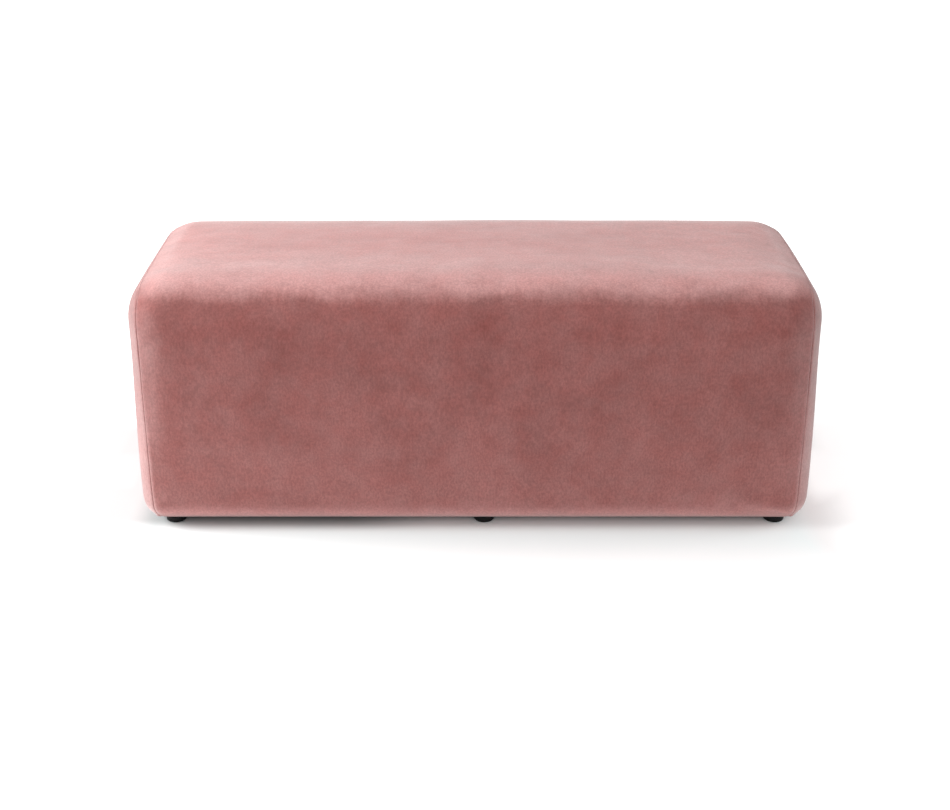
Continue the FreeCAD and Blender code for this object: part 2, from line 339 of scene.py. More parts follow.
def pileMottleAndPaintedLight(tree, look, place, wander):
    # painted light and shade, with the pile's random mottle: how pale each place is, from deep at 0 to pale at
    # 1, and how much richer or duller its colour
    normal = node(tree, "ShaderNodeNewGeometry").outputs["Normal"]
    aside, _, rise = split(tree, normal)
    aside = absolute(tree, aside)
    along, deep, high = split(tree, place)
    level = spread(tree, rise, *look["levelFrom"])
    shoulder = minus(tree, spread(tree, rise, *look["shoulderFrom"]), level)
    upright = spread(tree, rise, *look["uprightFrom"], 1.0, 0.0)
    brink = spread(tree, deep, *look["brinkFrom"], 1.0, 0.0)
    onEnds = spread(tree, absolute(tree, along), *(seamAt + reach for reach in look["endsFrom"]))
    roll = times(tree, spread(tree, aside, *look["rollFrom"]), upright)

    feather = noiseAt(tree, place, look["featherScale"], 2.0, 0.6, look["featherStretch"])
    feather = times(tree, minus(tree, feather, 0.5), look["feather"])
    uneven = plus(tree, rise, times(tree, wander, look["wander"]), feather)
    # painted light on top: paler as the face turns up, less where it leans aside, and a little less pale on
    # the flat top, least so near its front edge
    top = spread(tree, uneven, *look["topFrom"], 0.0, look["topPaintedLight"])
    top = times(tree, top, spread(tree, aside, *look["leanFrom"], 1.0, 1 - look["rollLess"]))
    flat = times(tree, level, minus(tree, look["flatTopLess"], times(tree, brink, look["brinkPaintedLight"])))
    # painted light: the tuck under the bench is paler, for the sheen and the floor's bounce light there
    tuck = spread(tree, rise, *look["tuckFrom"], look["tuckPaintedLight"], 0.0)
    # painted light: the lower walls are paler toward the floor, for its bounce light
    foot = spread(tree, high, *look["footFrom"], look["footPaintedLight"], 0.0, "LINEAR")
    # painted light: the upright rolled edges and the end panels are paler where the lamps catch them
    lower = times(tree, roll, spread(tree, high, *look["rollHeight"], look["rollPaintedLight"], 0.0))
    sides = times(tree, plus(tree, foot, times(tree, onEnds, look["endPaintedLight"]), lower), upright)
    paleShareAndPaintedLight = plus(tree, minus(tree, top, flat), tuck, sides, times(tree, wander, look["mottle"]), look["rest"])

    # painted light and shade in the saturation: a richer flat top, and a duller front brink, shoulder, ends
    # and rolls; the shoulder's dulling is painted shade
    paintedLightSaturation = times(tree, level, minus(tree, look["flatRicher"], times(tree, brink, look["brinkDuller"])))
    paintedLightDulling = plus(tree, times(tree, shoulder, look["shoulderPaintedShade"]), times(tree, onEnds, look["endsDuller"]),
                  times(tree, roll, look["rollDuller"]))
    return paleShareAndPaintedLight, minus(tree, paintedLightSaturation, paintedLightDulling)


def around(middle, reach):
    return middle - reach, middle + reach


def makeVelvet():
    look = velvetLook
    velvet = Surface("roseVelvet", look, Roughness=0.92, Sheen_Weight=look["sheen"], Specular_IOR_Level=0.1,
                     Sheen_Roughness=look["sheenRoughness"], Sheen_Tint=look["sheenTint"])
    tree, place = velvet.tree, velvet.place
    nap = velvet.use(napGroup, "cloudScale", "streakScale")
    threads = velvet.use(weaveGroup, "threadScale", "slubScale")
    brushed = blendValue(tree, look["streakShare"], nap["clouds"], nap["streaks"])
    # the share from deep to pale carries painted light and shade as well as the pile's random mottle
    toneAndPaintedLight, paintedLightSaturation = pileMottleAndPaintedLight(tree, look, place, minus(tree, brushed, 0.5))
    colour = blendColour(tree, toneAndPaintedLight, look["deep"], look["pale"])
    drift = noiseAt(tree, place, look["driftScale"])
    drift = spread(tree, drift, *look["driftFrom"], *around(1, look["hueDrift"]))
    colour = node(tree, "ShaderNodeHueSaturation",
                  {"Saturation": plus(tree, drift, paintedLightSaturation), "Color": colour}).outputs[0]
    flecks = noiseAt(tree, place, look["fleckScale"], 2.0, 0.7, look["fleckStretch"])
    grain = times(tree, spread(tree, threads["tone"], *look["threadFrom"], *around(1, look["threadTone"])),
                  spread(tree, threads["height"], *look["toothFrom"], *around(1, look["toothTone"])),
                  spread(tree, flecks, *look["fleckFrom"], *around(1, look["flecks"])))
    height = plus(tree, times(tree, brushed, look["lieRelief"]),
                  times(tree, threads["height"], look["threadRelief"]))
    return velvet.finish(scaleColour(tree, colour, grain), height)


pineLook = {
    "pale": (0.70, 0.50, 0.27, 1), "dark": (0.52, 0.32, 0.14, 1), "stretch": (0.4, 4, 4), "ringScale": 9.0,
    "dustScale": 30.0, "markScale": 180.0, "markShare": 0.25, "poreFrom": (0.3, 0.7),
    "roughness": (0.5, 0.8), "relief": 0.0003, "reliefShare": 0.5}
plywoodLook = {
    **pineLook, "pale": (0.62, 0.44, 0.25, 1), "dark": (0.47, 0.30, 0.15, 1), "stretch": (0.5, 3, 3),
    "ringScale": 14.0}


def makeWood(name, look):
    wood = Surface(name, look)
    grain = wood.use(grainGroup, "stretch", "ringScale")
    marks = times(wood.tree, wood.handled()["marks"], look["markShare"])
    colour = blendColour(wood.tree, grain["bands"], look["pale"], look["dark"])
    return wood.finish(blendColour(wood.tree, marks, colour, look["dark"]),
                       plus(wood.tree, grain["pores"], grain["bands"]),
                       spread(wood.tree, grain["pores"], *look["poreFrom"], *look["roughness"]))


foamLook = {"pale": (0.78, 0.70, 0.48, 1), "dusty": (0.68, 0.56, 0.33, 1), "cellScale": 600.0,
            "dustScale": 14.0, "markScale": 90.0, "relief": 0.0008, "reliefShare": 0.8}


def makeFoamStuff():
    look = foamLook
    foam = Surface("creamFoam", look, Roughness=0.95)
    colour = blendColour(foam.tree, foam.handled()["dust"], look["pale"], look["dusty"])
    return foam.finish(colour, foam.cells())


waddingLook = {"shade": (0.72, 0.73, 0.74, 1), "pale": (0.86, 0.86, 0.85, 1), "tuftScale": 26.0,
               "threadScale": 260.0, "slubScale": 38.0, "relief": 0.002, "reliefShare": 0.8}


def makeWaddingStuff():
    look = waddingLook
    wadding = Surface("whiteWadding", look, Roughness=1.0, Sheen_Weight=0.3)
    threads = wadding.use(weaveGroup, "threadScale", "slubScale")
    tufts = noiseAt(wadding.tree, wadding.place, look["tuftScale"], 4.0, 0.7)
    return wadding.finish(blendColour(wadding.tree, tufts, look["shade"], look["pale"]),
                          plus(wadding.tree, tufts, threads["height"]))


dustClothLook = {
    "black": (0.010, 0.010, 0.011, 1), "threads": (0.024, 0.024, 0.026, 1), "dusty": (0.075, 0.07, 0.065, 1),
    "dustShare": 0.35, "cellScale": 420.0, "threadScale": 500.0, "slubScale": 120.0,
    "toneFrom": (0.35, 0.65), "dustScale": 18.0, "markScale": 120.0, "relief": 0.0005, "reliefShare": 0.6}


def makeDustCloth():
    look = dustClothLook
    cloth = Surface("blackDustCloth", look, Roughness=0.9, Sheen_Weight=0.15)
    threads = cloth.use(weaveGroup, "threadScale", "slubScale")
    tone = spread(cloth.tree, threads["tone"], *look["toneFrom"])
    colour = blendColour(cloth.tree, tone, look["black"], look["threads"])
    dust = times(cloth.tree, cloth.handled()["dust"], look["dustShare"])
    return cloth.finish(blendColour(cloth.tree, dust, colour, look["dusty"]),
                        plus(cloth.tree, cloth.cells(), threads["height"]))


plasticLook = {
    "black": (0.004, 0.004, 0.0045, 1), "dusty": (0.014, 0.0135, 0.013, 1), "dustShare": 0.3,
    "pebbleScale": 1500.0, "dustScale": 120.0, "markScale": 700.0, "roughness": (0.45, 0.65),
    "relief": 0.00012, "reliefShare": 0.5}


def makeGlidePlastic():
    look = plasticLook
    plastic = Surface("blackGlidePlastic", look, Specular_IOR_Level=0.2)
    handled = plastic.handled()
    dust = times(plastic.tree, handled["dust"], look["dustShare"])
    return plastic.finish(blendColour(plastic.tree, dust, look["black"], look["dusty"]),
                          noiseAt(plastic.tree, plastic.place, look["pebbleScale"], 2.0, 0.5),
                          spread(plastic.tree, handled["marks"], 0.0, 1.0, *look["roughness"]))


steelLook = {
    "bright": (0.62, 0.60, 0.55, 1), "dull": (0.48, 0.45, 0.38, 1), "dustScale": 300.0, "markScale": 1400.0,
    "roughness": (0.28, 0.5), "relief": 0.00005, "reliefShare": 0.4}


def makeSteel():
    look = steelLook
    steel = Surface("zincSteel", look, Metallic=1.0)
    handled = steel.handled()
    colour = blendColour(steel.tree, handled["dust"], look["bright"], look["dull"])
    return steel.finish(colour, handled["marks"],
                        spread(steel.tree, handled["marks"], 0.0, 1.0, *look["roughness"]))


yarnLook = {
    "deep": (0.20, 0.065, 0.06, 1), "pale": (0.33, 0.13, 0.12, 1), "dusty": (0.45, 0.3, 0.28, 1),
    "dustShare": 0.2, "plyScale": 900.0, "dustScale": 60.0, "markScale": 800.0,
    "relief": 0.0002, "reliefShare": 0.7}


def makeThread():
    look = yarnLook
    yarn = Surface("roseThread", look, Roughness=0.6)
    ply = node(yarn.tree, "ShaderNodeTexWave", {"Vector": yarn.place, "Scale": look["plyScale"]},
               bands_direction="DIAGONAL").outputs["Fac"]
    dust = times(yarn.tree, yarn.handled()["dust"], look["dustShare"])
    colour = blendColour(yarn.tree, ply, look["deep"], look["pale"])
    return yarn.finish(blendColour(yarn.tree, dust, colour, look["dusty"]), ply)


velvet = makeVelvet()
plywood = makeWood("birchPlywood", plywoodLook)
pineLong = makeWood("pineAlongTheBench", pineLook)
pineAcross = makeWood("pineAcrossTheBench", {**pineLook, "stretch": (4, 0.4, 4)})
pineUpright = makeWood("pineUpright", {**pineLook, "stretch": (4, 4, 0.4)})
foamStuff = makeFoamStuff()
waddingStuff = makeWaddingStuff()
dustCloth = makeDustCloth()
glidePlastic = makeGlidePlastic()
steel = makeSteel()
thread = makeThread()
print("materials are made")


# the upholstered form, worked out from the size of the CAD cover

blockForm = {
    "cornerX": 0.0775, "cornerY": 0.104, "topRound": 0.082,       # rounding at the top
    "lowCornerX": 0.049, "lowCornerY": 0.060,                     # plan corner at the floor
    "tuckReachX": 0.031, "tuckReachY": 0.056, "tuckHeight": 0.046,  # roll under the bench
    "fullness": 2.19, "crown": 0.0042, "faceBulge": 0.0036, "endBulge": 0.0041,
    "seamOut": 0.0002, "seamShare": 0.2}      # past the CAD seam, and the share of the corner kept beyond it

bandLow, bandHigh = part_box("cover_band")
endLow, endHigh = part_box("cover_right_end")
floorLine = bandLow[2]
topLine = bandHigh[2]
halfLength = endHigh[0]
halfDepth = bandHigh[1]
seamX = seamAt + blockForm["seamOut"]
hemX = endLow[0]
hemY = halfDepth - (halfLength - hemX)      # the hem reaches as far in on every side
middleLine = (floorLine + topLine) / 2


def rounded(share):
    # the other leg of a full, slightly square quarter turn
    power = blockForm["fullness"]
    return np.clip(1 - np.abs(share) ** power, 0, 1) ** (1 / power)


def quarter(turn):
    power = 2 / blockForm["fullness"]
    return np.cos(turn) ** power, np.sin(turn) ** power


def swell(points):
    # crown on top and a slight bulge on each side
    form = blockForm
    x = np.clip(points[..., 0] / halfLength, -1, 1)
    y = np.clip(points[..., 1] / halfDepth, -1, 1)
    z = np.clip((points[..., 2] - middleLine) / (middleLine - floorLine), -1, 1)
    full = lambda t: 1 - t ** 2
    result = points.copy()
    result[..., 2] += form["crown"] * full(x) * full(y) * np.clip(z, 0, 1) ** 2
    result[..., 1] += np.sign(y) * form["faceBulge"] * full(x) * full(z) * y ** 2
    result[..., 0] += np.sign(x) * form["endBulge"] * full(y) * full(z) * x ** 2
    return result


class Form:
    # the sizes of the block drawn in by an inset
    def __init__(self, inset):
        form = blockForm
        self.halfX = halfLength - form["endBulge"] - inset
        self.halfY = halfDepth - form["faceBulge"] - inset
        self.topZ = topLine - form["crown"] - inset
        self.lowZ = floorLine + inset
        self.cornerX, self.cornerY = form["cornerX"] - inset, form["cornerY"] - inset
        self.topRound = form["topRound"] - inset
        self.lowCornerX, self.lowCornerY = form["lowCornerX"] - inset, form["lowCornerY"] - inset
        self.tuckX, self.tuckY = form["tuckReachX"] - inset, form["tuckReachY"] - inset
        self.tuckHeight = form["tuckHeight"] - inset
        self.wallLow = self.lowZ + self.tuckHeight
        self.wallHigh = self.topZ - self.topRound
        self.seam = min(seamX, self.halfX - form["seamShare"] * self.cornerX)

    def level(self, row):
        # height, inset and plan corner of a row: 0 to 1 is the tuck, 1 to 2 the wall
        if row <= 1:
            reach, rise = quarter(math.pi / 2 * (1 - row))
            inX, inY = self.tuckX * (1 - reach), self.tuckY * (1 - reach)
            return self.lowZ + self.tuckHeight * (1 - rise), inX, inY, self.lowCornerX, self.lowCornerY
        share = row - 1
        grow = ease(share)
        return (mix(self.wallLow, self.wallHigh, share), 0.0, 0.0,
                mix(self.lowCornerX, self.cornerX, grow), mix(self.lowCornerY, self.cornerY, grow))

    def bandRow(self, x, row):
        # one row of the band over all x: 0 to 2 as above, 2 to 3 the top edge, 3 to 4 half the top
        side, reach = np.sign(x), np.abs(x)
        if row <= 2:
            z, insetX, insetY, cornerX, cornerY = self.level(row)
            u = np.clip((reach - self.halfX + cornerX) / cornerX, 0, 1)
            y = self.halfY - cornerY + (cornerY - insetY) * rounded(u)
            return np.stack([x - side * insetX * u, -y, np.full_like(x, z)], -1)
        u = np.clip((reach - self.halfX + self.cornerX) / self.cornerX, 0, 1)
        scale = rounded(u)
        v, w = quarter(math.pi / 2 * min(row - 2, 1))
        coreY = (self.halfY - self.cornerY) * (1 - max(row - 3, 0))
        y = coreY + self.cornerY * scale * v * (row < 3)
        z = self.wallHigh + self.topRound * scale * w
        return np.stack([x, -y, z], -1)

    def endRow(self, columns, row):
        # one row of the right end: column 0 is the seam, 1 the end of the corner, 2 the middle
        if row <= 2:
            z, insetX, insetY, cornerX, cornerY = self.level(row)
            atSeam = rounded((self.seam - self.halfX + cornerX) / cornerX)
            v = atSeam * (1 - np.clip(columns, 0, 1))
            coreY = (self.halfY - cornerY) * (1 - np.clip(columns - 1, 0, 1))
            x = self.halfX - cornerX + (cornerX - insetX) * rounded(v)
            y = coreY + (cornerY - insetY) * v
            return np.stack([x, -y, np.full_like(x, z)], -1)
        atSeam = rounded((self.seam - self.halfX + self.cornerX) / self.cornerX)
        a, b = 1 - np.clip(columns, 0, 1), np.full_like(columns, row - 2)
        most = np.maximum(np.maximum(a, b), tiny)
        turn = np.where(a >= b, math.pi / 4 * b / most, math.pi / 2 - math.pi / 4 * a / most)
        v, w = quarter(turn)
        v, w = v * atSeam * most, w * atSeam * most
        coreY = (self.halfY - self.cornerY) * (1 - np.clip(columns - 1, 0, 1))
        x = self.halfX - self.cornerX + self.cornerX * rounded(atSeam * most)
        return np.stack([x, -(coreY + self.cornerY * v), self.wallHigh + self.topRound * w], -1)


def mirrorY(points):
    return points * np.array([1, -1, 1])


def bandGrid(form, xs, rows, hemRows):
    # rows run from the hem in front, over the top, to the hem behind; the last row of rows is 4
    loop = form.bandRow(xs, 0)
    hemXs = xs * (hemX / np.abs(xs).max())
    inner = np.stack([hemXs, np.full_like(xs, -hemY), np.full_like(xs, form.lowZ)], -1)
    front = [mix(inner, loop, share) for share in hemRows]
    front += [form.bandRow(xs, row) for row in rows]
    rear = [mirrorY(points) for points in front[:-1]][::-1]
    return np.array(front + rear)


def endGrid(form, columns, rows, hemRows):
    # columns run from the front seam to the rear one; rows from the hem to the top seam
    half = columns[columns <= 2]
    loop = form.endRow(half, 0)
    innerY = loop[:, 1] / loop[0, 1] * -hemY
    inner = np.stack([np.full_like(half, hemX), innerY, np.full_like(half, form.lowZ)], -1)
    front = [mix(inner, loop, share) for share in hemRows]
    front += [form.endRow(half, row) for row in rows]
    front = np.array(front)
    rear = mirrorY(front[:, :-1])[:, ::-1]
    return np.concatenate([front, rear], 1)


coverBuild = {
    "step": 0.0066,              # spacing of the finished mesh
    "simStep": 2,                # the simulated mesh has one row in this many
    "seamSteps": (0.16, 0.42),   # extra rows beside the seam, as shares of a step
    "hemRows": 6,
    "topArc": 1.62, "tuckArc": 0.8}      # how long each rounding is, over the mean and the sum of its legs


def evenCount(length, step):
    return max(2, 2 * round(length / step / 2))


def stationCounts():
    form, step = Form(0), coverBuild["step"]
    arc = coverBuild["topArc"] * (form.cornerY + form.topRound) / 2
    return {
        "middle": evenCount(2 * (form.halfX - form.cornerX), step),
        "corner": evenCount((seamX - form.halfX + form.cornerX), step),
        "tuck": evenCount(coverBuild["tuckArc"] * (form.tuckY + form.tuckHeight), step),
        "wall": evenCount(form.wallHigh - form.wallLow, step),
        "arc": evenCount(arc, 2 * step) * 2,
        "top": evenCount(2 * (form.halfY - form.cornerY), 2 * step) * 2,
        "hem": coverBuild["hemRows"]}


def runs(*parts):
    # joins runs of evenly spaced values, each given as (start, end, count)
    values = [np.linspace(start, end, count + 1)[1:] for start, end, count in parts]
    return np.concatenate([[parts[0][0]]] + values)


def coverStations(divide):
    # the same seam points come out of the band's stations and the end's
    count = {key: value // divide for key, value in stationCounts().items()}
    form = Form(0)
    core = form.halfX - form.cornerX
    xs = runs((-seamX, -core, count["corner"]), (-core, core, count["middle"]), (core, seamX, count["corner"]))
    hem = np.linspace(0, 1, count["hem"] + 1)[:-1]
    lower = runs((0, 1, count["tuck"]), (1, 2, count["wall"]))
    bandRows = np.concatenate([lower, runs((2, 3, count["arc"]), (3, 4, count["top"] // 2))[1:]])
    corner = count["arc"] // 2
    columns = runs((0, 1, corner), (1, 3, count["top"]), (3, 4, corner))
    endRows = np.concatenate([lower, runs((2, 3, corner))[1:]])
    return {"xs": xs, "hem": hem, "bandRows": bandRows, "columns": columns, "endRows": endRows}


def besideSeams(values, bothEnds):
    # slips the extra rows in beside the last value, or the first one too
    shares = np.array(coverBuild["seamSteps"])
    extra = [values[-1] - (values[-1] - values[-2]) * shares]
    if bothEnds:
        extra.append(values[0] + (values[1] - values[0]) * shares)
    return np.sort(np.concatenate([values, *extra]))


def smoothWeights(fine, coarse):
    # a row of weights for each fine value, for a smooth curve through the coarse ones
    count = len(coarse)
    places = np.interp(fine, coarse, np.arange(count))
    base = np.clip(np.floor(places).astype(int), 0, count - 2)
    t = places - base
    shares = (-0.5 * t + t ** 2 - 0.5 * t ** 3, 1 - 2.5 * t ** 2 + 1.5 * t ** 3,
              0.5 * t + 2 * t ** 2 - 1.5 * t ** 3, -0.5 * t ** 2 + 0.5 * t ** 3)
    weights = np.zeros((len(places), count))
    for step, share in enumerate(shares):
        np.add.at(weights, (np.arange(len(places)), np.clip(base + step - 1, 0, count - 1)), share)
    return weights


def gridFaces(first, rows, columns, flip=False):
    faces = []
    for row in range(rows - 1):
        for column in range(columns - 1):
            corner = first + row * columns + column
            face = (corner, corner + 1, corner + columns + 1, corner + columns)
            faces.append(face[::-1] if flip else face)
    return faces


endFlips = (False, False, True)     # the left end is the right one mirrored


def weldedCover(grids):
    # band, right end and left end as one list of points and faces
    faces, first = [], 0
    for grid, flip in zip(grids, endFlips):
        rows, columns = grid.shape[:2]
        faces += gridFaces(first, rows, columns, flip)
        first += rows * columns
    return np.concatenate([grid.reshape(-1, 3) for grid in grids]), faces


woodEdge = {"clear": 0.0019, "turnAt": 0.0025, "slope": 0.9, "height": 0.01}


def underWood(points):
    # near the wood's lower edge the cloth keeps below it, then turns up
    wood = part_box("front_panel")
    out = np.maximum(np.abs(points[..., 0]) - wood[1][0], np.abs(points[..., 1]) + wood[0][1])
    limit = wood[0][2] - woodEdge["clear"] + woodEdge["slope"] * np.maximum(out - woodEdge["turnAt"], 0)
    result = points.copy()
    isLow = points[..., 2] < wood[0][2] + woodEdge["height"]
    result[..., 2] = np.minimum(points[..., 2], np.where(isLow, limit, np.inf))
    return result


def coverGrids(form, stations):
    band = bandGrid(form, stations["xs"], stations["bandRows"], stations["hem"])
    right = endGrid(form, stations["columns"], stations["endRows"], stations["hem"])
    left = right * np.array([-1, 1, 1])
    return [underWood(swell(grid)) for grid in (band, right, left)]


clothSettings = {
    "startInset": 0.0012, "frames": 18, "cap": 0.0045,      # no point moves further than the cap
    "weldGap": 0.0004, "hold": 0.30, "unevenHold": 0.7, "leastHold": 0.02, "wanderScale": 7, "seamHold": 0.8,
    "hemZone": 0.012, "seamZone": 0.003,
    "fabric": {"quality": 5, "mass": 0.35, "tension_stiffness": 18, "compression_stiffness": 18,
               "shear_stiffness": 8, "bending_stiffness": 0.6, "use_pressure": True,
               "uniform_pressure_force": 3.2, "pin_stiffness": 0.6, "shrink_min": 0.004}}


def holdAt(spot, setting):
    # how hard the form holds the cloth: fast at the hem, firm at the seams, unevenly elsewhere
    if spot.z < floorLine + setting["hemZone"]:
        return 1.0
    if abs(abs(spot.x) - seamX) < setting["seamZone"]:
        return setting["seamHold"]
    wander = noise.noise(spot * setting["wanderScale"] + Vector((3, 1, 8)))
    return min(1.0, max(setting["leastHold"], setting["hold"] * (1 + setting["unevenHold"] * wander)))


def simulateCover(stations):
    # cloth over foam: blown up gently against springs that hold it to the form, then capped
    setting = clothSettings
    points, faces = weldedCover(coverGrids(Form(setting["startInset"]), stations))
    thing = objectFrom("clothTrial", points, faces)

    def weldAndRemember(shape):
        kept = shape.verts.layers.int.new("origin")
        for vertex in shape.verts:
            vertex[kept] = vertex.index
        bmesh.ops.remove_doubles(shape, verts=shape.verts, dist=setting["weldGap"])

    changeMesh(thing, weldAndRemember)
    origin = np.zeros(len(thing.data.vertices), int)
    thing.data.attributes["origin"].data.foreach_get("value", origin)
    held = thing.vertex_groups.new(name="held")
    for vertex in thing.data.vertices:
        held.add([vertex.index], holdAt(vertex.co, setting), "REPLACE")
    cloth = thing.modifiers.new("cloth", "CLOTH")
    for key, value in setting["fabric"].items():
        setattr(cloth.settings, key, value)
    cloth.settings.vertex_group_mass = "held"
    cloth.settings.effector_weights.gravity = 0
    cloth.collision_settings.use_collision = False
    cloth.point_cache.frame_start = 1
    cloth.point_cache.frame_end = setting["frames"]
    for frameNumber in range(1, setting["frames"] + 1):
        scene.frame_set(frameNumber)
    graph = bpy.context.evaluated_depsgraph_get()
    after = np.zeros(len(origin) * 3)
    thing.evaluated_get(graph).data.vertices.foreach_get("co", after)
    before = np.zeros_like(after)
    thing.data.vertices.foreach_get("co", before)
    scene.frame_set(1)
    bpy.data.objects.remove(thing)
    moved = (after - before).reshape(-1, 3)
    # welded points share one place, so each takes the move of the one that was kept
    kept = KDTree(len(origin))
    for index, source in enumerate(origin):
        kept.insert(points[source], index)
    kept.balance()
    moved = moved[[kept.find(point)[1] for point in points]]
    size = np.linalg.norm(moved, axis=1, keepdims=True)
    cap = setting["cap"]
    moved *= np.minimum(1, cap * np.tanh(size / cap) / np.maximum(size, tiny))
    print("cloth moved", round(1000 * float(size.mean()), 2), "mm on average,",
          round(1000 * float(size.max()), 2), "at most")
    result, first = [], 0
    for grid in coverGrids(Form(0), stations):
        count = grid.shape[0] * grid.shape[1]
        result.append(moved[first:first + count].reshape(grid.shape))
        first += count
    return result


def fullRows(stations):
    # the band's rows from the front hem to the rear one, counted on from the front's
    front = np.concatenate([stations["hem"] - 1, stations["bandRows"]])
    return np.concatenate([front, 8 - front[:-1][::-1]])


def refine(moved, coarse, fine, kind):
    # carries the cloth's moves from the simulated rows to the finished ones
    if kind == "band":
        rows = [fullRows(stations) for stations in (fine, coarse)]
        columns = fine["xs"], coarse["xs"]
    else:
        rows = [np.concatenate([stations["hem"] - 1, stations["endRows"]]) for stations in (fine, coarse)]
        columns = fine["columns"], coarse["columns"]
    along = np.tensordot(smoothWeights(*rows), moved, (1, 0))
    return np.swapaxes(np.tensordot(smoothWeights(*columns), along, (1, 1)), 0, 1)


# the seam gapes most below the shoulder
seamLook = {
    "reach": 0.03, "depth": 0.0015, "width": 0.0012, "lip": 0.0003, "lipAt": 0.0050, "lipWidth": 0.0035,
    "pucker": 0.0005, "puckerReach": 0.009, "puckerScale": (8, 95, 95),
    "unevenDepth": 0.30, "unevenLip": 0.8, "unevenScale": (8, 21, 21),
    "closedShare": 0.38, "openLow": 0.24, "openHigh": 0.33, "closeTop": 0.41}


def seamRelief(points, distance):
    # furrow, lips and small puckers beside a seam
    look = seamLook
    near = distance < look["reach"]
    spots, d = points[near], distance[near]
    along = noiseOver(spots * look["puckerScale"], shift=(11, 5, 2))
    slow = noiseOver(spots * look["unevenScale"], shift=(2, 7, 4))
    low, high, top = look["openLow"], look["openHigh"], look["closeTop"]
    gape = ease((spots[:, 2] - low) / (high - low)) * (1 - ease((spots[:, 2] - high) / (top - high)))
    depth = look["depth"] * mix(look["closedShare"], 1.0, gape)
    furrow = depth * (1 + look["unevenDepth"] * slow) * np.exp(-(d / look["width"]) ** 2)
    lip = look["lip"] * (1 + look["unevenLip"] * slow) * np.exp(-((d - look["lipAt"]) / look["lipWidth"]) ** 2)
    pucker = look["pucker"] * along * np.exp(-d / look["puckerReach"])
    offset = np.zeros(len(points))
    offset[near] = lip + pucker - furrow
    return offset


def seamDistance(grid, isEnd):
    # distance of each point to its own piece's seam, measured along the mesh rows and columns
    alongRow = np.linalg.norm(np.diff(grid, axis=1), axis=2)
    fromLeft = np.pad(np.cumsum(alongRow, 1), ((0, 0), (1, 0)))
    distance = np.minimum(fromLeft, fromLeft[:, -1:] - fromLeft)
    if isEnd:
        alongColumn = np.linalg.norm(np.diff(grid, axis=0), axis=2)
        fromTop = np.pad(np.cumsum(alongColumn[::-1], 0)[::-1], ((0, 1), (0, 0)))
        distance = np.minimum(distance, fromTop)
    return distance.reshape(-1)


def weldedNormals(points, faces):
    # outward normals, shared by points at the same place, so the seam stays shut
    faces = np.array(faces)
    a, b, c, d = (points[faces[:, k]] for k in range(4))
    keys = np.round(points / samePlace).astype(np.int64)
    group = np.unique(keys, axis=0, return_inverse=True)[1].reshape(-1)
    total = np.zeros((group.max() + 1, 3))
    for k in range(4):
        np.add.at(total, group[faces[:, k]], np.cross(c - a, d - b))
    normals = total[group]
    return normals / np.maximum(np.linalg.norm(normals, axis=1, keepdims=True), tiny)


coverLook = {
    "thickness": 0.0016, "waves": 0.0006, "waveScale": 9.0, "flatBelow": 0.01, "wavyFrom": 0.06, "fill": 0.95}
coverPieces = (
    ("coverBand", "cover_band"), ("coverRightEnd", "cover_right_end"), ("coverLeftEnd", "cover_left_end"))


def shapeCover():
    # the finished grids, and the coarser ones that the wadding follows
    coarse = coverStations(coverBuild["simStep"])
    fine = coverStations(1)
    arc = stationCounts()["arc"]
    nearCorner = [2.5 + side * share / arc for share in coverBuild["seamSteps"] for side in (-1, 1)]
    fine["bandRows"] = np.sort(np.concatenate([fine["bandRows"], nearCorner]))
    fine["xs"] = besideSeams(fine["xs"], True)
    fine["columns"] = besideSeams(fine["columns"], True)
    fine["endRows"] = besideSeams(fine["endRows"], False)
    grids, underneath = coverGrids(Form(0), fine), coverGrids(Form(0), coarse)
    moved = simulateCover(coarse)
    kinds = ("band", "end", "end")
    grids = [grid + refine(move, coarse, fine, kind) for grid, move, kind in zip(grids, moved, kinds)]
    underneath = [grid + move for grid, move in zip(underneath, moved)]
    hem = len(coarse["hem"])
    return grids, [underneath[0][hem:-hem], underneath[1][hem:], underneath[2][hem:]]


def makeCover(grids):
    look = coverLook
    points, faces = weldedCover(grids)
    distance = np.concatenate([seamDistance(grid, index > 0) for index, grid in enumerate(grids)])
    waves = look["waves"] * noiseOver(points, look["waveScale"], (5, 9, 1))
    high = ease((points[:, 2] - floorLine - look["flatBelow"]) / (look["wavyFrom"] - look["flatBelow"]))
    normals = weldedNormals(points, faces)
    points = points + normals * (seamRelief(points, distance) + waves * high)[:, None]
    band = grids[0].shape
    seams = [values[:band[0] * band[1]].reshape(band)[:, [0, -1]] for values in (points, normals)]
    first = 0
    for (name, nodeName), grid, flip in zip(coverPieces, grids, endFlips):
        rows, columns = grid.shape[:2]
        piece = objectFrom(name, points[first:first + rows * columns], gridFaces(0, rows, columns, flip))
        first += rows * columns
        settlePadding(thicken(piece, look["thickness"]), velvet, nodeName)
    print("the velvet cover is made")
    return BVHTree.FromPolygons([tuple(p) for p in points], [tuple(f) for f in faces]), seams


paddingLook = {
    "waddingDepth": 0.0054, "waddingThickness": 0.0045, "waddingLumps": 0.0005, "lumpScale": 40.0,
    "waddingWeld": 0.0006, "waddingFill": 0.8,
    "foamDepth": 0.0128, "foamVoxel": 0.008, "foamCells": 0.0003, "cellScale": 160.0, "foamFill": 1.0}


def makeWadding(grids):
    look = paddingLook
    points, faces = weldedCover(grids)
    lumps = noiseOver(points, look["lumpScale"]) * look["waddingLumps"]
    points = points + weldedNormals(points, faces) * (lumps - look["waddingDepth"])[:, None]
    piece = objectFrom("polyesterWadding", points, faces)
    weld(piece, look["waddingWeld"])
    thicken(piece, look["waddingThickness"])
    settlePadding(piece, waddingStuff, "wadding")


